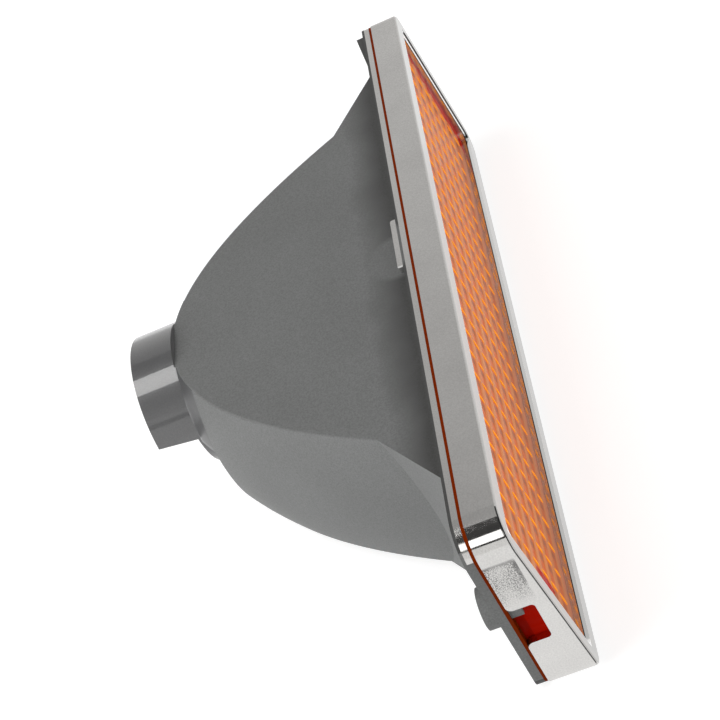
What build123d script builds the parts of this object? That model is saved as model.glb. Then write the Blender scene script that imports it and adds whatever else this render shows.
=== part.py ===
"""Parking light: amber lens in a bright bezel on a moulded reflector housing.

Frame: X runs along the lamp, +Y points to the rear (into the car), +Z is up.
The origin is midway between the two rear screw bosses, in the plane of their faces.
"""

import os

from build123d import *

# Face of the lamp
length = 210.0                # over the bezel
height = 52.0                 # over the bezel
corner_tight = 3.5            # bezel corners at the top right and the bottom left
corner_round = 8.0            # bezel corners at the top left and the bottom right
corner_least = 0.8            # inner walls keep at least this corner radius
face_slope = 0.08             # the face leans back towards the top: dy per dz
fit_gap = 0.3                 # clearance round nested walls

# Depths measured from the rear face of the screw bosses, forwards
boss_height = 2.7             # boss face to rear of flange
flange_thickness = 2.15       # housing flange
lens_flange_thickness = 0.8   # the amber line seen between bezel and flange
bezel_depth = 9.8             # bezel side wall at mid height

# Bezel
bezel_wall = 1.8
lip_thickness = 2.5           # front lip, also how deep the lens sits behind it
lip_width_ends = 3.6
lip_width_long = 4.4
window_radius = 2.6
lip_edge_radius = 0.7
notch_width = 11.7            # cut-out in each end wall, open to the rear
notch_depth = 6.0
notch_drop = 3.7              # centre of the cut-out below the lamp's middle
notch_radius = 1.0
notch_mouth_radius = 1.5      # rounds the cut-out's rear corners outwards

# Lens
lens_wall = 2.0
lens_face = 1.9
flute_count = 9
flute_height = 0.55
rim_step = 0.3                # lens and housing flanges stay inside the bezel outline

# Housing
side_setback = 3.5            # flat top and bottom walls of the bowl, in from the bezel
wall = 2.2
rim_setback = 30.58           # the paraboloid meets the flange this far in from the bezel
bowl_reach = 68.8             # apex of the outer paraboloid, behind the boss faces
land_drop = 10.4              # apex to the flat land round the socket collar
crown_drop = 7.2              # apex to the bowl's rear end above that land
crease_radius = 0.6           # where the flat walls cut the paraboloid
flare_setback = 43.0          # each end flare leaves the bowl this far in from the bezel
left_foot = 23.4              # and meets the flange this far in from it
right_foot = 21.0
boss_inset = 5.3              # screw bosses in from the bezel's ends
boss_radius = 4.9
lug_width = 2.6               # locating lug in each cut-out, through the lens flange
lug_thickness = 1.0
lug_reach = 3.7               # from the flange forwards
pilot_radius = 1.6
pilot_depth = 4.0
root_fillet = 3.5

# Socket collar and its rain hood
neck_rise = 3.3               # axis of collar and hood above the lamp's middle
collar_radius = 17.1
collar_height = 5.7
bore_radius = 14.2
key_count = 3
key_width = 5.0
key_depth = 1.4
hood_proud = 1.85             # top of the hood above the bowl's flat top wall
hood_wall = 2.2
hood_length = 14.7
hood_edge_front = 3.9         # lower edges of the hood above its axis
hood_edge_rear = 5.7

# End rib beside the right-hand boss
rib_thickness = 2.7
rib_setback = 1.6             # its high end in from the bezel
rib_drop = 3.0                # its top face below the bezel's top

# Bright strip along the top edge of the flange
strip_thickness = 1.2
strip_width = 1.45            # from the lens flange to the lip behind the strip
strip_turn = 6.5              # how far it runs down round each corner
tab_half = 9.75
tab_height = 1.4
tab_depth = 1.8
tab_end_radius = 0.6
neck_half = 8.0               # the tab's neck passes a slot in the flange
neck_thickness = 1.2

# Planes across the depth, as Y values
flange_rear = -boss_height
flange_front = flange_rear - flange_thickness
bezel_rear = flange_front - lens_flange_thickness
face_middle = bezel_rear - bezel_depth
front_reach = bezel_depth + face_slope * height + 4 * lip_thickness
flange_length = length - 2 * rim_step
flange_height = height - 2 * rim_step
flange_top = flange_height / 2
side_half = height / 2 - side_setback
boss_span = length - 2 * boss_inset
bowl_flat = bowl_reach - land_drop
crown_end = bowl_reach - crown_drop
rim_half = length / 2 - rim_setback
focal_length = rim_half**2 / (4 * (bowl_reach - flange_front))
hood_radius = side_half - neck_rise + hood_proud
flare_in = length / 2 - flare_setback
left_flare = length / 2 - left_foot
right_flare = length / 2 - right_foot
flare_top = bowl_reach - (flare_in**2 + side_half**2) / (4 * focal_length)
face_plane = Plane(origin=(0, face_middle, 0), x_dir=(1, 0, 0), z_dir=(0, -1, face_slope))


def across(y):
    """Plane across the depth at Y = y, drawn in X and Z; extrusions run forwards."""
    return Plane.XZ.offset(-y)


def outline(inset):
    """Face outline of the lamp, moved in: two tight and two round corners."""
    tight = max(corner_tight - inset, corner_least)
    full = max(corner_round - inset, corner_least)
    with BuildSketch(Plane.XY) as shape:
        Rectangle(length - 2 * inset, height - 2 * inset)
        corners = shape.vertices()
        fillet(corners.filter_by(lambda corner: corner.X * corner.Y > 0), tight)
        corners = shape.vertices().filter_by(lambda corner: corner.X * corner.Y < 0)
        fillet(corners.filter_by(lambda corner: abs(corner.X) + abs(corner.Y) > (length + height) / 2
                                 - 2 * inset - fit_gap), full)
    return shape.sketch


def slanted_block(inset, rear_y, depth):
    """Block of the lamp's outline from rear_y forwards, trimmed parallel to its face."""
    with BuildPart() as block:
        with BuildSketch(across(rear_y)):
            add(outline(inset))
        extrude(amount=front_reach)
        split(bisect_by=face_plane.offset(-depth), keep=Keep.BOTTOM)
    return block.part


def bowl_solid(apex, focus, land, side, inset):
    """Paraboloid cut by two flat walls, with a straight flare at each end."""
    curve = 1 / (4 * focus)
    top = ((apex - land) / curve) ** 0.5
    rim = ((apex - flange_front) / curve) ** 0.5
    with BuildPart() as bowl:
        with BuildSketch(Plane.XY):
            with BuildLine():
                Line((0, flange_front), (0, land))
                Line((0, land), (top, land))
                Bezier((top, land), ((top + rim) / 2, apex - curve * top * rim), (rim, flange_front))
                Line((rim, flange_front), (0, flange_front))
            make_face()
        revolve(axis=Axis.Y)
        with BuildSketch(Plane.XY.offset(-side)):
            with Locations((0, (land + flange_front) / 2)):
                Rectangle(2 * rim, land - flange_front)
        extrude(amount=2 * side, mode=Mode.INTERSECT)
        with BuildSketch(Plane.XY.offset(-side)):
            with BuildLine():
                Polyline(
                    (inset - left_flare, flange_front),
                    (inset - left_flare, flange_rear),
                    (inset - flare_in, flare_top),
                    (flare_in - inset, flare_top),
                    (right_flare - inset, flange_rear),
                    (right_flare - inset, flange_front),
                    close=True,
                )
            make_face()
        extrude(amount=2 * side)
    return bowl.part


os.makedirs("parts", exist_ok=True)

# Bezel: bright frame with a sloping face, open to the rear
with BuildPart() as bezel:
    add(slanted_block(0, bezel_rear, 0))
    front_edges = bezel.faces().sort_by(Axis.Y)[0].edges()
    fillet(front_edges, lip_edge_radius)
    add(slanted_block(bezel_wall, bezel_rear, lip_thickness), mode=Mode.SUBTRACT)
    with BuildSketch(across(bezel_rear)):
        RectangleRounded(length - 2 * lip_width_ends, height - 2 * lip_width_long, window_radius)
    extrude(amount=front_reach, mode=Mode.SUBTRACT)
    with BuildSketch(Plane.YZ.offset(-length)):
        with Locations((bezel_rear, -notch_drop)):
            RectangleRounded(2 * notch_depth, notch_width, notch_radius)
    extrude(amount=2 * length, mode=Mode.SUBTRACT)
    mouth = bezel.edges().filter_by(Axis.X).filter_by_position(Axis.Y, bezel_rear, bezel_rear)
    fillet(mouth.filter_by(lambda edge: abs(edge.center().X) > length / 2 - bezel_wall
                           and edge.length < 2 * bezel_wall), notch_mouth_radius)
bezel.part.label = "bezel"
export_step(bezel.part, "parts/bezel.step")

# Lens: amber tray with lengthwise flutes inside its face and a flat flange
lens_inset = bezel_wall + fit_gap
hollow_inset = lens_inset + lens_wall
lug_middle = length / 2 - lens_inset + (lug_thickness + fit_gap) / 2
lug_height = notch_width / 2 - notch_drop - 2 * fit_gap - lug_width / 2
hollow_length = length - 2 * hollow_inset
hollow_height = height - 2 * hollow_inset
hollow_depth = lip_thickness + lens_face
flute_pitch = hollow_height / flute_count
inside = face_middle + hollow_depth * (1 + face_slope**2) ** 0.5
with BuildPart() as flutes:
    with BuildSketch(Plane.YZ.offset(-length / 2)):
        for index in range(flute_count):
            low = -hollow_height / 2 + index * flute_pitch
            high = low + flute_pitch
            with BuildLine():
                root = Line(
                    (inside + face_slope * low - flute_height, low),
                    (inside + face_slope * high - flute_height, high),
                )
                start = Line(root @ 0, (inside + face_slope * low, low))
                end = Line(root @ 1, (inside + face_slope * high, high))
                crown = (inside + face_slope * (low + high) / 2 + flute_height, (low + high) / 2)
                ThreePointArc(start @ 1, crown, end @ 1)
            make_face()
    extrude(amount=length)
    with BuildSketch(across(flange_front)):
        add(outline(hollow_inset - lens_wall / 2))
    extrude(amount=front_reach, mode=Mode.INTERSECT)
with BuildPart() as lens:
    add(slanted_block(lens_inset, flange_front, lip_thickness))
    with BuildSketch(across(flange_front)):
        add(outline(rim_step))
    extrude(amount=lens_flange_thickness)
    add(slanted_block(hollow_inset, flange_front, hollow_depth), mode=Mode.SUBTRACT)
    add(flutes.part)
    with BuildSketch(across(flange_front)):
        with Locations((-lug_middle, lug_height), (lug_middle, lug_height)):
            Rectangle(lug_thickness + fit_gap, lug_width + fit_gap)
    extrude(amount=lens_flange_thickness, mode=Mode.SUBTRACT)
lens.part.label = "lens"
export_step(lens.part, "parts/lens.step")

# Housing: flange, reflector bowl, socket collar with its hood, bosses and rib
strip_seat = strip_thickness + fit_gap / 2
strip_rear = flange_front + strip_width
neck_top = flange_top - strip_thickness + neck_thickness / 3
with BuildPart() as crown:
    add(bowl_solid(bowl_reach, focal_length, crown_end, side_half, 0))
    with BuildSketch(across(bowl_flat)):
        with Locations((0, neck_rise)):
            Circle(hood_radius)
    extrude(amount=-hood_length)
    with BuildSketch(Plane.XY.offset(side_half)):
        with Locations((0, crown_end - bowl_reach)):
            Rectangle(2 * bowl_reach, 2 * bowl_reach)
    extrude(amount=height, mode=Mode.SUBTRACT)
    with BuildSketch(Plane.YZ.offset(-length)):
        with BuildLine():
            Polyline(
                (bowl_flat, neck_rise + hood_edge_front),
                (bowl_flat + hood_length, neck_rise + hood_edge_rear),
                (bowl_flat + hood_length, height),
                (bowl_flat, height),
                close=True,
            )
        make_face()
    extrude(amount=2 * length, mode=Mode.INTERSECT)
    with BuildSketch(across(bowl_flat)):
        with Locations((0, neck_rise)):
            Circle(hood_radius - hood_wall)
    extrude(amount=-2 * hood_length, mode=Mode.SUBTRACT)
with BuildPart() as housing:
    with BuildSketch(across(flange_rear)):
        add(outline(rim_step))
    extrude(amount=flange_thickness)
    add(bowl_solid(bowl_reach, focal_length, bowl_flat, side_half, 0))
    creases = housing.edges().filter_by(GeomType.LINE, reverse=True).filter_by(
        lambda edge: abs(abs(edge.center().Z) - side_half) < fit_gap
        and edge.bounding_box().size.Z < fit_gap
        and edge.center().Y > flare_top
    )
    fillet(creases, crease_radius)
    feet = housing.edges().filter_by(Axis.Z).filter_by_position(Axis.Y, flange_rear, flange_rear)
    fillet(feet.filter_by(lambda foot: abs(foot.center().X) < right_flare + fit_gap), root_fillet)
    with BuildSketch(across(flange_rear)):
        with Locations((-boss_span / 2, 0), (boss_span / 2, 0)):
            Circle(boss_radius)
    extrude(amount=-boss_height)
    with BuildSketch(Plane.XY.offset(height / 2 - rib_drop - rib_thickness)):
        with BuildLine():
            Polyline(
                (right_flare - wall, flange_rear),
                (length / 2 - rib_setback, flange_rear),
                (length / 2 - rib_setback, 0),
                close=True,
            )
        make_face()
    extrude(amount=rib_thickness)
    add(crown.part)
    with BuildSketch(across(flange_front)):
        with Locations((-lug_middle, lug_height), (lug_middle, lug_height)):
            Rectangle(lug_thickness, lug_width)
    extrude(amount=lug_reach)
    with BuildSketch(across(bowl_flat)):
        with Locations((0, neck_rise)):
            Circle(collar_radius)
    extrude(amount=-collar_height)
    flare_rise = flare_top - flange_rear
    inset = wall * (1 + ((right_flare - flare_in) / flare_rise) ** 2) ** 0.5
    cavity_focus = focal_length - wall / 3
    cavity = bowl_solid(bowl_reach - wall, cavity_focus, bowl_flat - wall, side_half - wall, inset)
    add(cavity, mode=Mode.SUBTRACT)
    with BuildSketch(across(bowl_flat + collar_height)):
        with Locations((0, neck_rise)):
            Circle(bore_radius)
            with PolarLocations(bore_radius, key_count, start_angle=90):
                Rectangle(2 * key_depth, key_width)
    extrude(amount=collar_height + 2 * wall, mode=Mode.SUBTRACT)
    with BuildSketch(Plane.XZ):
        with Locations((-boss_span / 2, 0), (boss_span / 2, 0)):
            Circle(pilot_radius)
    extrude(amount=pilot_depth, mode=Mode.SUBTRACT)
    with BuildSketch(across(strip_rear)):
        Rectangle(2 * length, 2 * height)
        add(outline(rim_step + strip_seat), mode=Mode.SUBTRACT)
        with Locations((0, -strip_turn)):
            Rectangle(2 * length, height, mode=Mode.SUBTRACT)
    extrude(amount=strip_width, mode=Mode.SUBTRACT)
    with BuildSketch(across(flange_rear)):
        with Locations((0, neck_top - neck_thickness / 2)):
            Rectangle(2 * neck_half + fit_gap, neck_thickness + fit_gap)
    extrude(amount=flange_thickness, mode=Mode.SUBTRACT)
housing.part.label = "housing"
export_step(housing.part, "parts/housing.step")

# Strip: bright band in the flange's edge, with a tab that passes a slot in the flange
with BuildPart() as strip:
    with BuildSketch(across(strip_rear)):
        add(outline(rim_step))
        add(outline(rim_step + strip_thickness), mode=Mode.SUBTRACT)
        with Locations((0, fit_gap / 2 - strip_turn)):
            Rectangle(2 * length, height, mode=Mode.SUBTRACT)
    extrude(amount=strip_width)
    with BuildSketch(across(flange_rear)):
        with Locations((0, neck_top - neck_thickness / 2)):
            Rectangle(2 * neck_half, neck_thickness)
    extrude(amount=flange_thickness)
    with BuildSketch(across(flange_rear + tab_height)):
        with Locations((0, flange_top - tab_depth / 2)):
            Rectangle(2 * tab_half, tab_depth)
    extrude(amount=tab_height)
    ends = strip.edges().filter_by(Axis.Z).group_by(Axis.Y)[-1]
    fillet(ends, tab_end_radius)
strip.part.label = "strip"
export_step(strip.part, "parts/strip.step")
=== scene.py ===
"""Parking light on a white table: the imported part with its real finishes, light and camera."""

import math

import bpy
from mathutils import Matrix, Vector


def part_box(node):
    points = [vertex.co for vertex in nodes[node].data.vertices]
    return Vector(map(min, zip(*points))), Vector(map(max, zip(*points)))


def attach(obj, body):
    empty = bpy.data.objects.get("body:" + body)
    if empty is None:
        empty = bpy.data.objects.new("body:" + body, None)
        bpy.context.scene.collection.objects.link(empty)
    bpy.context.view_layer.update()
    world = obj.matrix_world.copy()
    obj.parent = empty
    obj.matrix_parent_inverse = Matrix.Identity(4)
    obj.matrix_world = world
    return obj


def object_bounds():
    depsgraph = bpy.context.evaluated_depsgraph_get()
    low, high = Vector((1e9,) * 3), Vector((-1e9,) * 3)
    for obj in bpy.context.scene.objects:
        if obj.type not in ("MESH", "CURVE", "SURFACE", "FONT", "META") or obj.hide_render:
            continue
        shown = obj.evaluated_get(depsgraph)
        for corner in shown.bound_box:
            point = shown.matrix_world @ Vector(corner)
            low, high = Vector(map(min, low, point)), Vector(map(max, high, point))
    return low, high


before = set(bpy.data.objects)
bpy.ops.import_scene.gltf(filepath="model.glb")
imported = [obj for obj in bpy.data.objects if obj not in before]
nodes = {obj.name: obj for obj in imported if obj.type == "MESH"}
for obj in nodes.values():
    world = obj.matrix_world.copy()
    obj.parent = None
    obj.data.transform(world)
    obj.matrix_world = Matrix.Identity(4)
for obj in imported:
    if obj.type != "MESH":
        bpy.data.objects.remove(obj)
cad_low, cad_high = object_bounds()

# Housing: one moulding in mid-grey filled plastic, with a fine matt grain on the
# bowl and flange, and a polished hood and socket collar. The inside of the bowl
# is metallised, because it is the lamp's reflector.
housing = nodes["housing"]
plastic_colour = (0.218, 0.223, 0.221, 1.0)
plastic_dark = (0.203, 0.207, 0.205, 1.0)
plastic_speck = (0.09, 0.092, 0.092, 1.0)
polished_colour = (0.135, 0.135, 0.138, 1.0)
shoulder_shade_colour = (0.08, 0.08, 0.083, 1.0)
shaded_colour = (0.052, 0.051, 0.049, 1.0)
reflector_colour = (0.82, 0.82, 0.8, 1.0)
matt_roughness = 0.58
polished_roughness = 0.3
mirror_polish = 0.4
coat_roughness = 0.03
narrow_span = (0.35, 0.65)
wide_span = (0.3, 0.7)
cloud_scale = 45.0
grain_scale = 2600.0
grain_cover = 0.48
grain_depth = 0.00004
grain_strength = 0.45
bowl_top = 0.0224
shade_start = 0.0085
shade_end = -0.001
shade_wander = 0.0015
halo_middle = (-0.0008, -0.001)
halo_size = (0.0082, 0.0082)
halo_edge = (1.2, 0.75)
halo_strength = 0.7
shoulder_start = 0.0557
land_place = 0.0585
hood_start = 0.0613
hood_edge = 0.0085
neck_rise = 0.0033
seat_radius = 0.0275
reflector_end = 0.0572
reflector_apex = 0.0677
reflector_curve = 13.5
reflector_side = 0.0214
reflector_radius_squared = 0.0052


def set_or_link(tree, socket, value):
    """Puts a number or colour on a socket, or links another socket to it."""
    if isinstance(value, (int, float, tuple)):
        socket.default_value = value
    else:
        tree.links.new(value, socket)


def math_of(tree, operation, first, second=0.0):
    """Math node on two values, each a socket or a number; returns its output."""
    node = tree.nodes.new("ShaderNodeMath")
    node.operation = operation
    set_or_link(tree, node.inputs[0], first)
    set_or_link(tree, node.inputs[1], second)
    return node.outputs[0]


def plus(tree, first, second):
    """Sum of two values."""
    return math_of(tree, "ADD", first, second)


def minus(tree, first, second):
    """First value less the second."""
    return math_of(tree, "SUBTRACT", first, second)


def times(tree, first, second):
    """Product of two values."""
    return math_of(tree, "MULTIPLY", first, second)


def above(tree, value, limit):
    """One where the value is over the limit."""
    return math_of(tree, "GREATER_THAN", value, limit)


def below(tree, value, limit):
    """One where the value is under the limit."""
    return math_of(tree, "LESS_THAN", value, limit)


def all_of(tree, *masks):
    """Product of masks: one only where each of them is one."""
    product = masks[0]
    for mask in masks[1:]:
        product = times(tree, product, mask)
    return product


def any_of(tree, *masks):
    """Largest of masks: one where any of them is one."""
    largest = masks[0]
    for mask in masks[1:]:
        largest = math_of(tree, "MAXIMUM", largest, mask)
    return largest


def squares_of(tree, first, second):
    """Sum of the squares of two values."""
    return plus(tree, times(tree, first, first), times(tree, second, second))


def oval_of(tree, first, second, middle, size):
    """Squared distance from an oval's middle: under one within it."""
    offsets = [
        math_of(tree, "DIVIDE", minus(tree, value, centre), reach)
        for value, centre, reach in zip((first, second), middle, size)
    ]
    return squares_of(tree, *offsets)


def noise_of(tree, place, scale, detail, stretch=(1.0, 1.0, 1.0)):
    """Noise at a real scale, in cells per metre along each axis; returns its factor."""
    mapping = tree.nodes.new("ShaderNodeMapping")
    mapping.inputs["Scale"].default_value = stretch
    tree.links.new(place, mapping.inputs["Vector"])
    node = tree.nodes.new("ShaderNodeTexNoise")
    node.inputs["Scale"].default_value = scale
    node.inputs["Detail"].default_value = detail
    tree.links.new(mapping.outputs[0], node.inputs["Vector"])
    return node.outputs["Fac"]


def mix_colours(tree, factor, first, second):
    """Colour mix; factor, first and second are sockets or values."""
    node = tree.nodes.new("ShaderNodeMix")
    node.data_type = "RGBA"
    for name, kind, value in (("Factor", "VALUE", factor), ("A", "RGBA", first), ("B", "RGBA", second)):
        socket = next(s for s in node.inputs if s.name == name and s.type == kind)
        set_or_link(tree, socket, value)
    return next(s for s in node.outputs if s.type == "RGBA")


def ramp_of(tree, value, low, high, to_low=0.0, to_high=1.0):
    """Clamped linear map of a value; returns its output."""
    node = tree.nodes.new("ShaderNodeMapRange")
    tree.links.new(value, node.inputs["Value"])
    node.inputs["From Min"].default_value = low
    node.inputs["From Max"].default_value = high
    node.inputs["To Min"].default_value = to_low
    node.inputs["To Max"].default_value = to_high
    return node.outputs["Result"]


def bump_on(tree, shader, height, depth, strength):
    """Bump of a real depth in metres on the shader's normal."""
    node = tree.nodes.new("ShaderNodeBump")
    node.inputs["Distance"].default_value = depth
    node.inputs["Strength"].default_value = strength
    tree.links.new(height, node.inputs["Height"])
    tree.links.new(node.outputs["Normal"], shader.inputs["Normal"])


def new_finish(name):
    """New node material: itself, its tree, shader, object coordinates and their x, y, z."""
    material = bpy.data.materials.new(name)
    material.use_nodes = True
    tree = material.node_tree
    place = tree.nodes.new("ShaderNodeTexCoord").outputs["Object"]
    split = tree.nodes.new("ShaderNodeSeparateXYZ")
    tree.links.new(place, split.inputs[0])
    return material, tree, tree.nodes["Principled BSDF"], place, split.outputs


def grey_plastic():
    """Grey moulding: grained bowl and flange, polished neck, metallised inside, with painted shade on
    the flat walls and shoulder.
    """
    material, tree, shader, place, (x, y, z) = new_finish("grey_plastic")
    clouds = noise_of(tree, place, cloud_scale, 3.0)
    grain = noise_of(tree, place, grain_scale, 2.0)
    away = math_of(tree, "ABSOLUTE", z)

    # The inside of the bowl lies ahead of a dish that follows the moulding.
    radial = squares_of(tree, x, z)
    dish = minus(tree, reflector_apex, times(tree, radial, reflector_curve))
    inside = all_of(
        tree,
        below(tree, y, dish),
        below(tree, y, reflector_end),
        below(tree, away, reflector_side),
        below(tree, radial, reflector_radius_squared),
    )

    # The polished neck: the shoulder under the hood, the collar and the hood.
    under_top = below(tree, away, bowl_top)
    seat = squares_of(tree, x, minus(tree, z, neck_rise))
    shoulder = all_of(
        tree,
        above(tree, y, shoulder_start),
        under_top,
        above(tree, z, hood_edge),
        below(tree, seat, seat_radius * seat_radius),
    )
    collar = all_of(tree, above(tree, y, land_place), under_top)
    hood = above(tree, y, hood_start)
    polished = any_of(tree, shoulder, collar, hood)
    # The shoulder's foot, under the hood, is painted a darker shade.
    shoulder_foot_shade = times(tree, shoulder, below(tree, y, hood_start))

    # Painted shade: the flat walls darken towards the flange, less beside the strip's tab, where a
    # painted lighter oval stands in for light off the tab.
    uneven = plus(tree, y, ramp_of(tree, clouds, *wide_span, -shade_wander, shade_wander))
    shade = times(tree, above(tree, away, bowl_top), ramp_of(tree, uneven, shade_start, shade_end))
    tab_oval = oval_of(tree, x, y, halo_middle, halo_size)
    halo = ramp_of(tree, tab_oval, *halo_edge, 0.0, halo_strength)
    halo = times(tree, halo, above(tree, z, bowl_top))
    shade = times(tree, shade, minus(tree, 1.0, halo))

    body = mix_colours(tree, ramp_of(tree, clouds, *narrow_span), plastic_dark, plastic_colour)
    body = mix_colours(tree, polished, body, polished_colour)
    body = mix_colours(tree, shoulder_foot_shade, body, shoulder_shade_colour)
    body = mix_colours(tree, shade, body, shaded_colour)
    body = mix_colours(tree, ramp_of(tree, grain, *wide_span, 0.0, grain_cover), body, plastic_speck)
    body = mix_colours(tree, inside, body, reflector_colour)
    tree.links.new(body, shader.inputs["Base Color"])
    tree.links.new(inside, shader.inputs["Metallic"])
    rough = ramp_of(tree, polished, 0.0, 1.0, matt_roughness, polished_roughness)
    rough = minus(tree, rough, times(tree, inside, mirror_polish))
    tree.links.new(rough, shader.inputs["Roughness"])
    tree.links.new(hood, shader.inputs["Coat Weight"])
    shader.inputs["Coat Roughness"].default_value = coat_roughness
    bump_on(tree, shader, grain, grain_depth, grain_strength)
    return material


def dress(piece, material):
    """Gives a piece one material."""
    piece.data.materials.clear()
    piece.data.materials.append(material)


dress(housing, grey_plastic())

# Lens: amber acrylic tray, smooth outside, with lengthwise flutes moulded into
# its face. Its flange is clamped between the bezel and the housing, where its
# edge shows as a thin dark red line.
lens = nodes["lens"]
amber_ridge = (0.86, 0.285, 0.08, 1.0)
amber_groove = (0.84, 0.15, 0.01, 1.0)
amber_shade = (0.38, 0.12, 0.045, 1.0)
amber_glow = (0.6, 0.012, 0.0, 1.0)
amber_rim = (0.9, 0.16, 0.01, 1.0)
amber_wall = (0.34, 0.005, 0.0005, 1.0)
amber_edge = (0.22, 0.024, 0.001, 1.0)
amber_far_shade = (0.5, 0.23, 0.17, 1.0)
amber_roughness = 0.16
amber_ior = 1.49
amber_gloss = 0.01
fluted_width = 0.0438
flute_count = 9
flute_pitch = fluted_width / flute_count
flute_span = (-0.8, 0.8)
flute_depth = 0.00012
flute_strength = 0.5
streak_scale = 60.0
streak_stretch = (1.0, 1.0, 26.0)
streak_strength = 0.3
pillow_pitch = 0.008
pillow_start = -0.0017
shade_offset = 0.34
shade_along = (0.2, 1.0)
shade_across = (0.4, -0.7)
shade_strength = 0.75
far_shade_span = (-0.01, -0.021)
far_shade_strength = 0.5
rim_place = 0.0203
wall_place = 0.1024
flange_place = -0.0058
glow_scale = 150.0
glow_wander = 0.005
face_end = 0.0976
face_end_blur = 0.0002
glow_middle = (-0.0922, -0.0065)
glow_size = (0.0014, 0.0052)
glow_edge = (1.05, 0.9)
face_glow = 0.25
face_glow_place = flange_place - 0.002


def amber_acrylic():
    """Amber acrylic: flutes in painted light and dark bands, a faint painted glow, red where its walls
    show.
    """
    material, tree, shader, place, (x, y, z) = new_finish("amber_acrylic")

    # Painted light and shade: light and dark bands follow the flutes, with fine streaks along them.
    wave = math_of(tree, "COSINE", times(tree, z, 2 * math.pi / flute_pitch))
    streaks = noise_of(tree, place, streak_scale, 3.0, streak_stretch)
    streaks = ramp_of(tree, streaks, *wide_span, -streak_strength, streak_strength)
    bands = plus(tree, ramp_of(tree, wave, *flute_span), streaks)
    body = mix_colours(tree, ramp_of(tree, bands, 0.0, 1.0), amber_groove, amber_ridge)

    # A painted brown shadow lies beside each prism, where the flutes meet.
    beside = minus(tree, x, pillow_start - pillow_pitch * shade_offset)
    beside = math_of(tree, "COSINE", times(tree, beside, 2 * math.pi / pillow_pitch))
    shade = times(tree, ramp_of(tree, beside, *shade_along), ramp_of(tree, wave, *shade_across))
    body = mix_colours(tree, times(tree, shade, shade_strength), body, amber_shade)

    # The lower side is painted darker and greyer, as shade, and a narrow rim along the upper side is
    # brighter.
    body = mix_colours(tree, ramp_of(tree, z, *far_shade_span, 0.0, far_shade_strength), body, amber_far_shade)
    body = mix_colours(tree, above(tree, z, rim_place), body, amber_rim)

    # Red shows at the ends of the face, on the end walls and on the flange.
    patches = noise_of(tree, place, glow_scale, 3.0)
    reach = plus(tree, x, ramp_of(tree, patches, *wide_span, -glow_wander, glow_wander))
    far_end = ramp_of(tree, reach, face_end, face_end + face_end_blur)
    spot = ramp_of(tree, oval_of(tree, x, z, glow_middle, glow_size), *glow_edge)
    body = mix_colours(tree, any_of(tree, spot, far_end), body, amber_glow)
    side = above(tree, math_of(tree, "ABSOLUTE", x), wall_place)
    body = mix_colours(tree, side, body, amber_wall)
    body = mix_colours(tree, above(tree, y, flange_place), body, amber_edge)

    tree.links.new(body, shader.inputs["Base Color"])
    # The face glows faintly in its own colour: painted light, for light the reflector sends back through
    # it.
    tree.links.new(body, shader.inputs["Emission Color"])
    face = below(tree, y, face_glow_place)
    tree.links.new(times(tree, face, face_glow), shader.inputs["Emission Strength"])
    shader.inputs["Roughness"].default_value = amber_roughness
    shader.inputs["IOR"].default_value = amber_ior
    shader.inputs["Specular IOR Level"].default_value = amber_gloss
    bump_on(tree, shader, wave, flute_depth, flute_strength)
    return material


dress(lens, amber_acrylic())

# Prisms: slim bars moulded across the lens's face, where its flutes meet. Their
# bright orange colour and glow are painted light, for the light they gather, seen
# as bright orange dashes. They stand a pillow's length apart in each row, and
# lean a little.
prism_colour = (1.0, 0.33, 0.0, 1.0)
prism_dull = (0.95, 0.26, 0.02, 1.0)
prism_spot_scale = 240.0
prism_painted_glow = 0.7
prism_roughness = 0.2
prism_gloss = 0.02
prism_sizes = {
    "Pitch": pillow_pitch,
    "Row pitch": flute_pitch,
    "Length": 0.004,
    "Width": 0.00078,
    "Height": 0.00016,
    "Lean": math.radians(6.0),
    "Face place": -0.012942,
    "Face slope": 0.08,
    "Start": pillow_start,
}
prism_counts = {"Count": 25, "Rows": 8}
prism_shortest = 0.8
prism_longest = 1.1
prism_seed = 4
prism_sides = 10
prism_rings = 6


def prism_acrylic():
    """The lens's amber on a prism, with a painted glow for the light it gathers."""
    material, tree, shader, place, _ = new_finish("prism_acrylic")
    spots = noise_of(tree, place, prism_spot_scale, 2.0)
    body = mix_colours(tree, ramp_of(tree, spots, *narrow_span), prism_dull, prism_colour)
    tree.links.new(body, shader.inputs["Base Color"])
    shader.inputs["Emission Color"].default_value = prism_colour
    shader.inputs["Emission Strength"].default_value = prism_painted_glow
    shader.inputs["Roughness"].default_value = prism_roughness
    shader.inputs["Specular IOR Level"].default_value = prism_gloss
    return material


def vector_of(tree, *parts):
    """Vector from three sockets or numbers."""
    node = tree.nodes.new("ShaderNodeCombineXYZ")
    for socket, part in zip(node.inputs, parts):
        set_or_link(tree, socket, part)
    return node.outputs[0]


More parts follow.
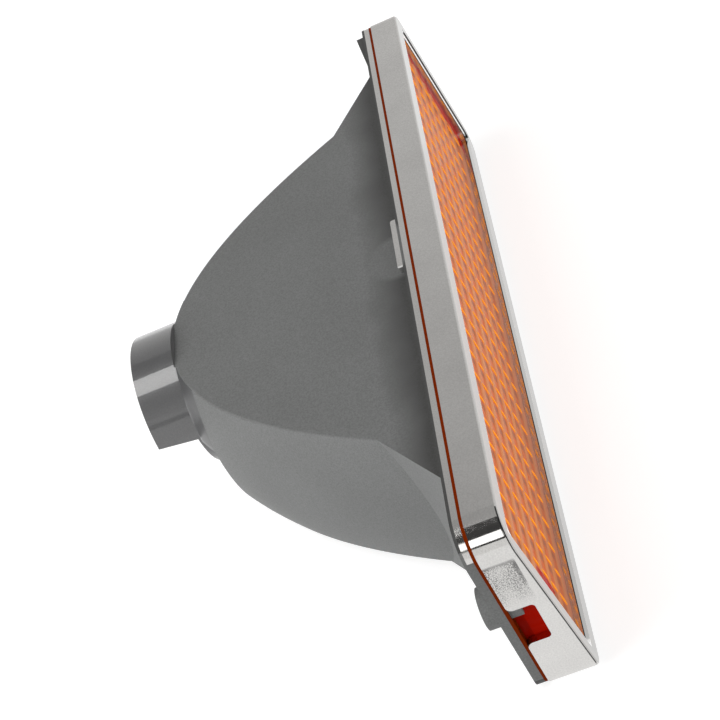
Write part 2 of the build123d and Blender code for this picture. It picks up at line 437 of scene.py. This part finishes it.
def prism_tree(material):
    """Geometry Nodes: rows of slim rounded bars on the sloping face of the lens."""
    tree = bpy.data.node_groups.new("prism_rows", "GeometryNodeTree")
    for values, kind in ((prism_sizes, "NodeSocketFloat"), (prism_counts, "NodeSocketInt")):
        for name, value in values.items():
            socket = tree.interface.new_socket(name=name, in_out="INPUT", socket_type=kind)
            socket.default_value = value
    tree.interface.new_socket(name="Prisms", in_out="OUTPUT", socket_type="NodeSocketGeometry")
    size = tree.nodes.new("NodeGroupInput").outputs

    # A grid of points, laid on the sloping face.
    grid = tree.nodes.new("GeometryNodeMeshGrid")
    grid_length = times(tree, size["Pitch"], minus(tree, size["Count"], 1.0))
    grid_width = times(tree, size["Row pitch"], minus(tree, size["Rows"], 1.0))
    tree.links.new(grid_length, grid.inputs["Size X"])
    tree.links.new(grid_width, grid.inputs["Size Y"])
    tree.links.new(size["Count"], grid.inputs["Vertices X"])
    tree.links.new(size["Rows"], grid.inputs["Vertices Y"])
    split = tree.nodes.new("ShaderNodeSeparateXYZ")
    tree.links.new(tree.nodes.new("GeometryNodeInputPosition").outputs[0], split.inputs[0])
    along = plus(tree, split.outputs["X"], size["Start"])
    up = split.outputs["Y"]
    depth = plus(tree, size["Face place"], times(tree, up, size["Face slope"]))
    moved = tree.nodes.new("GeometryNodeSetPosition")
    tree.links.new(grid.outputs["Mesh"], moved.inputs["Geometry"])
    tree.links.new(vector_of(tree, along, depth, up), moved.inputs["Position"])

    # One rounded bar on each point, of its own length, half sunk into the face.
    bar = tree.nodes.new("GeometryNodeMeshUVSphere")
    bar.inputs["Segments"].default_value = prism_sides
    bar.inputs["Rings"].default_value = prism_rings
    bar.inputs["Radius"].default_value = 0.5
    vary = tree.nodes.new("FunctionNodeRandomValue")
    vary.data_type = "FLOAT"
    vary.inputs[2].default_value = prism_shortest
    vary.inputs[3].default_value = prism_longest
    vary.inputs["Seed"].default_value = prism_seed
    thick = times(tree, size["Height"], 2.0)
    long = times(tree, size["Length"], vary.outputs[1])
    tilt = times(tree, math_of(tree, "ARCTANGENT", size["Face slope"]), -1.0)
    rows = tree.nodes.new("GeometryNodeInstanceOnPoints")
    tree.links.new(moved.outputs[0], rows.inputs["Points"])
    tree.links.new(bar.outputs["Mesh"], rows.inputs["Instance"])
    tree.links.new(vector_of(tree, tilt, size["Lean"], 0.0), rows.inputs["Rotation"])
    tree.links.new(vector_of(tree, size["Width"], thick, long), rows.inputs["Scale"])

    real = tree.nodes.new("GeometryNodeRealizeInstances")
    tree.links.new(rows.outputs[0], real.inputs[0])
    finish = tree.nodes.new("GeometryNodeSetMaterial")
    finish.inputs["Material"].default_value = material
    tree.links.new(real.outputs[0], finish.inputs["Geometry"])
    tree.links.new(finish.outputs[0], tree.nodes.new("NodeGroupOutput").inputs["Prisms"])
    return tree


def grown_mesh(name, tree, values):
    """Object with the plain mesh that a Geometry Nodes tree makes from named values."""
    piece = bpy.data.objects.new(name, bpy.data.meshes.new(name))
    bpy.context.scene.collection.objects.link(piece)
    maker = piece.modifiers.new(name, "NODES")
    maker.node_group = tree
    for socket in tree.interface.items_tree:
        if socket.in_out == "INPUT" and socket.name in values:
            maker[socket.identifier] = values[socket.name]
    made = piece.evaluated_get(bpy.context.evaluated_depsgraph_get())
    mesh = bpy.data.meshes.new_from_object(made)
    piece.modifiers.remove(maker)
    piece.data = mesh
    return piece


prisms = grown_mesh("lens_prisms", prism_tree(prism_acrylic()), {**prism_sizes, **prism_counts})
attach(prisms, "root")

# Bezel: thin bright-plated frame, pressed to shape, whose sloping lip holds the
# lens. It is pushed over the lens's side walls from the front. The plating is
# smooth, with a coarser patch on the end wall beside the rounded corner.
bezel = nodes["bezel"]
bezel_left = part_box("bezel")[0][0]
plating_colour = (0.675, 0.665, 0.65, 1.0)
plating_dull = (0.615, 0.605, 0.59, 1.0)
plating_glint = (0.97, 0.97, 0.96, 1.0)
plating_dark = (0.06, 0.06, 0.06, 1.0)
plating_lip = (0.46, 0.46, 0.45, 1.0)
film_scale = 60.0
plating_grain_cover = 0.12
speck_scale = 900.0
speck_span = (0.3, 0.8)
speck_roughness = 0.05
wave_scale = 140.0
bezel_roughness = 0.07
bezel_wave_depth = 0.00002
end_skin = 0.00005
patch_low = 0.003
patch_low_blur = 0.004
patch_high = 0.0175
patch_high_blur = 0.0006
patch_front = -0.0128
patch_roughness = 0.12
grit_scale = 3200.0
grit_span = (0.44, 0.6)
grit_strength = 0.8
blotch_scale = 260.0
blotch_span = (0.35, 0.6)
blotch_least = 0.35
border_inner = 0.0014
border_outer = 0.0005
border_strength = 0.2
front_inner = 0.0012
front_span = (0.008, 0.014)
face_middle = -0.01545
face_slope = 0.08
face_skin = 0.0001
lip_edge = 0.0007
edge_start = 0.0005
edge_low = 0.03
edge_high = 0.36
edge_reach = 0.6
corner_round = 0.008
corner_middle = (-0.097, 0.018)
window_half = (0.1014, 0.0216)
window_skin = 0.00006
window_end = 0.0012
window_draft = 0.2
draft_depth = 0.0011
draft_line = 0.00025
dark_depth = 0.0005


def bright_plating(name, roughness):
    """Bright plating: material, tree, shader, place, axes, colour, roughness and waves."""
    material, tree, shader, place, axes = new_finish(name)
    film = noise_of(tree, place, film_scale, 4.0)
    body = mix_colours(tree, ramp_of(tree, film, *wide_span), plating_colour, plating_dull)
    grain = noise_of(tree, place, grain_scale, 2.0)
    grain = ramp_of(tree, grain, *wide_span, 0.0, plating_grain_cover)
    body = mix_colours(tree, grain, body, plating_dark)
    specks = noise_of(tree, place, speck_scale, 3.0)
    rough = ramp_of(tree, specks, *speck_span, roughness, roughness + speck_roughness)
    waves = noise_of(tree, place, wave_scale, 2.0)
    shader.inputs["Metallic"].default_value = 1.0
    return material, tree, shader, place, axes, body, rough, waves


def coarse_patch(tree, place, axes):
    """Coarse patch on the end wall: its whole area, and its dark grit."""
    x, y, z = axes
    area = all_of(
        tree,
        below(tree, x, bezel_left + end_skin),
        ramp_of(tree, z, patch_low, patch_low + patch_low_blur),
        ramp_of(tree, z, patch_high, patch_high - patch_high_blur),
        above(tree, y, patch_front),
    )
    blotch = noise_of(tree, place, blotch_scale, 3.0)
    fine = noise_of(tree, place, grit_scale, 2.0)
    border = ramp_of(tree, z, patch_high - border_inner, patch_high - border_outer, 0.0, border_strength)
    front = ramp_of(tree, y, patch_front + front_inner, patch_front + border_outer, 0.0, border_strength)
    front = times(tree, front, ramp_of(tree, z, *front_span))
    grit = plus(tree, fine, math_of(tree, "MAXIMUM", border, front))
    grit = ramp_of(tree, grit, *grit_span)
    coarse = all_of(tree, area, grit, ramp_of(tree, blotch, *blotch_span, blotch_least, 1.0))
    return area, times(tree, coarse, grit_strength)


def painted_edge_reflection(tree, x, z, from_face):
    """Painted dark reflection along the front edge of the left end wall and its rounded corner."""
    left = math_of(tree, "MAXIMUM", minus(tree, corner_middle[0], x), 0.0)
    up = math_of(tree, "MAXIMUM", minus(tree, z, corner_middle[1]), 0.0)
    inward = minus(tree, corner_round, math_of(tree, "SQRT", squares_of(tree, left, up)))
    return all_of(
        tree,
        above(tree, left, edge_start),
        below(tree, inward, lip_edge * edge_high),
        below(tree, from_face, lip_edge * edge_reach),
        above(tree, inward, lip_edge * edge_low),
    )


def bezel_plating():
    """Bezel's plating: coarse patch, grey lip, painted dark edge line, and window walls with a painted
    reflection and dark lines.
    """
    finish = bright_plating("bezel_plating", bezel_roughness)
    material, tree, shader, place, axes, body, rough, waves = finish
    x, y, z = axes
    area, coarse = coarse_patch(tree, place, axes)
    body = mix_colours(tree, coarse, body, plating_dark)
    rough = plus(tree, rough, times(tree, area, patch_roughness))
    from_face = minus(tree, y, plus(tree, face_middle, times(tree, z, face_slope)))
    body = mix_colours(tree, below(tree, from_face, face_skin), body, plating_lip)
    body = mix_colours(tree, painted_edge_reflection(tree, x, z, from_face), body, plating_dark)

    # The window's walls are painted bright, a painted reflection. A painted dark line runs where they
    # meet the lens, for the shade there, and a painted dark reflection runs along the front of the right
    # end wall.
    inner_wall = all_of(
        tree,
        below(tree, math_of(tree, "ABSOLUTE", x), window_half[0] + window_skin),
        below(tree, math_of(tree, "ABSOLUTE", z), window_half[1] + window_skin),
        below(tree, from_face, draft_depth),
    )
    end_wall = times(tree, inner_wall, above(tree, x, window_half[0] - window_end))
    painted_dark_lines = any_of(
        tree,
        times(tree, end_wall, below(tree, from_face, dark_depth)),
        times(tree, inner_wall, above(tree, from_face, draft_depth - draft_line)),
    )
    body = mix_colours(tree, inner_wall, body, plating_glint)
    body = mix_colours(tree, painted_dark_lines, body, plating_dark)
    draft = times(tree, inner_wall, times(tree, from_face, window_draft))
    relief = plus(tree, times(tree, waves, bezel_wave_depth), draft)
    bump_on(tree, shader, relief, 1.0, 1.0)
    tree.links.new(body, shader.inputs["Base Color"])
    tree.links.new(rough, shader.inputs["Roughness"])
    return material


dress(bezel, bezel_plating())

# Strip: bright-plated steel band let into the top edge of the housing's flange,
# with a tab behind the flange that hooks into the vehicle's panel. The tab's
# left end has a painted highlight.
strip = nodes["strip"]
strip_roughness = 0.12
strip_wave_depth = 0.0001
strip_wave_strength = 0.2
tab_place = -0.0026
tab_shine = -0.0091


def strip_plating():
    """Strip's plating, with a painted highlight on the end of its tab."""
    finish = bright_plating("strip_plating", strip_roughness)
    material, tree, shader, _, (x, y, _), body, rough, waves = finish
    painted_tab_glint = all_of(tree, above(tree, y, tab_place), below(tree, x, tab_shine))
    tree.links.new(mix_colours(tree, painted_tab_glint, body, plating_glint), shader.inputs["Base Color"])
    tree.links.new(rough, shader.inputs["Roughness"])
    bump_on(tree, shader, waves, strip_wave_depth, strip_wave_strength)
    return material


dress(strip, strip_plating())

# Table: matt white board under the lamp, full white where the camera or a mirror
# shows it, and still with the lamp's own soft shadow on it.
table_gap = 0.0002
table_height = cad_low[2] - table_gap
table_half = 3.0
board_colour = (0.42, 0.42, 0.42, 1.0)
board_lift = 0.79
table_mesh = bpy.data.meshes.new("table")
table_mesh.from_pydata(
    [
        (-table_half, -table_half, table_height),
        (table_half, -table_half, table_height),
        (table_half, table_half, table_height),
        (-table_half, table_half, table_height),
    ],
    [],
    [(0, 1, 2, 3)],
)
table = bpy.data.objects.new("table", table_mesh)
bpy.context.scene.collection.objects.link(table)


def seen_rays(tree):
    """One for camera rays, and for rays off a mirror or through a clear thing."""
    rays = tree.nodes.new("ShaderNodeLightPath").outputs
    return any_of(tree, rays["Is Camera Ray"], rays["Is Glossy Ray"], rays["Is Transmission Ray"])


def white_board():
    """Matt white, lifted to full white where it is seen."""
    material = bpy.data.materials.new("white_board")
    material.use_nodes = True
    tree = material.node_tree
    tree.nodes.clear()
    board = tree.nodes.new("ShaderNodeBsdfDiffuse")
    board.inputs["Color"].default_value = board_colour
    glow = tree.nodes.new("ShaderNodeEmission")
    tree.links.new(times(tree, seen_rays(tree), board_lift), glow.inputs["Strength"])
    both = tree.nodes.new("ShaderNodeAddShader")
    tree.links.new(board.outputs[0], both.inputs[0])
    tree.links.new(glow.outputs[0], both.inputs[1])
    output = tree.nodes.new("ShaderNodeOutputMaterial")
    tree.links.new(both.outputs[0], output.inputs["Surface"])
    return material


dress(table, white_board())

# Room: a pale studio whose walls darken upwards, with a bright window overhead,
# a glare at the left and three dark gaps, which the plating and the polished
# hood mirror. Each region is given by its limits on the direction's axes.
room_colour = (1.0, 0.995, 0.985, 1.0)
room_low = 0.76
room_high = 0.46
room_fade = (0.4, 0.74)
dim_region = {"X": (None, 0.14), "Y": (0.24, None), "Z": (0.56, None)}
dim_share = 0.5
pale_region = {"X": (None, -0.7), "Z": (None, 0.35)}
pale_light = 0.2
window_region = {"X": (-0.27, 0.14), "Y": (0.24, 0.55), "Z": (0.6, None)}
window_light = 5.4
glare_region = {"X": (None, -0.64), "Y": (0.05, 0.24), "Z": (0.45, None)}
glare_light = 1.7
right_gap_region = {"X": (0.14, 0.55), "Y": (0.24, None), "Z": (0.74, None)}
left_gap_region = {"X": (None, -0.7), "Z": (0.35, 0.45)}
gap_light = 0.02
corner_gap_region = {"X": (-0.64, 0.02), "Y": (None, 0.24), "Z": (0.6, None)}
corner_gap_light = 0.06


def region_of(tree, axes, limits):
    """One where each axis is between its limits; None leaves that side open."""
    masks = []
    for name, (low, high) in limits.items():
        if low is not None:
            masks.append(above(tree, axes[name], low))
        if high is not None:
            masks.append(below(tree, axes[name], high))
    return all_of(tree, *masks)


def studio_room():
    """World of the studio, by direction."""
    room = bpy.data.worlds.new("room")
    bpy.context.scene.world = room
    room.use_nodes = True
    tree = room.node_tree
    tree.nodes.clear()
    split = tree.nodes.new("ShaderNodeSeparateXYZ")
    tree.links.new(tree.nodes.new("ShaderNodeTexCoord").outputs["Generated"], split.inputs[0])
    axes = split.outputs

    walls = ramp_of(tree, axes["Z"], *room_fade, room_low, room_high)
    dim = times(tree, region_of(tree, axes, dim_region), dim_share)
    walls = times(tree, walls, minus(tree, 1.0, dim))
    walls = plus(tree, walls, times(tree, region_of(tree, axes, pale_region), pale_light))

    side_gaps = any_of(
        tree,
        region_of(tree, axes, right_gap_region),
        region_of(tree, axes, left_gap_region),
    )
    corner_gap = region_of(tree, axes, corner_gap_region)
    light = times(tree, walls, minus(tree, 1.0, any_of(tree, side_gaps, corner_gap)))
    for region, strength in (
        (side_gaps, gap_light),
        (corner_gap, corner_gap_light),
        (region_of(tree, axes, window_region), window_light),
        (region_of(tree, axes, glare_region), glare_light),
    ):
        light = plus(tree, light, times(tree, region, strength))

    # The camera itself sees plain white.
    direct = tree.nodes.new("ShaderNodeLightPath").outputs["Is Camera Ray"]
    light = plus(tree, times(tree, light, minus(tree, 1.0, direct)), direct)
    background = tree.nodes.new("ShaderNodeBackground")
    background.inputs["Color"].default_value = room_colour
    tree.links.new(light, background.inputs["Strength"])
    output = tree.nodes.new("ShaderNodeOutputWorld")
    tree.links.new(background.outputs[0], output.inputs["Surface"])


studio_room()

# Light: one soft box behind the lamp's left end, turned to face the lamp. The
# rest of the light comes from the room.
box_place = (-0.3, 0.54, 0.19)
box_side = 0.3
box_power = 1.3
box_data = bpy.data.lights.new("rear_left_box", "AREA")
box_data.shape = "RECTANGLE"
box_data.size = box_side
box_data.size_y = box_side
box_data.energy = box_power
box = bpy.data.objects.new("rear_left_box", box_data)
bpy.context.scene.collection.objects.link(box)
box.location = box_place
to_lamp = -box.location
box.rotation_euler = to_lamp.to_track_quat("-Z", "Y").to_euler()

# Camera: a long lens above the lamp's left end, with the lamp standing on end in
# the picture.
camera_place = (-0.36199, -0.07469, 0.29206)
camera_turn = (47.2487, 23.8295, -95.6258)
camera_data = bpy.data.cameras.new("camera")
camera_data.sensor_width = 36.0
camera_data.lens = 91.77
camera = bpy.data.objects.new("camera", camera_data)
bpy.context.scene.collection.objects.link(camera)
camera.location = camera_place
camera.rotation_euler = [math.radians(turn) for turn in camera_turn]
bpy.context.scene.camera = camera
bpy.context.scene.view_settings.view_transform = "Standard"
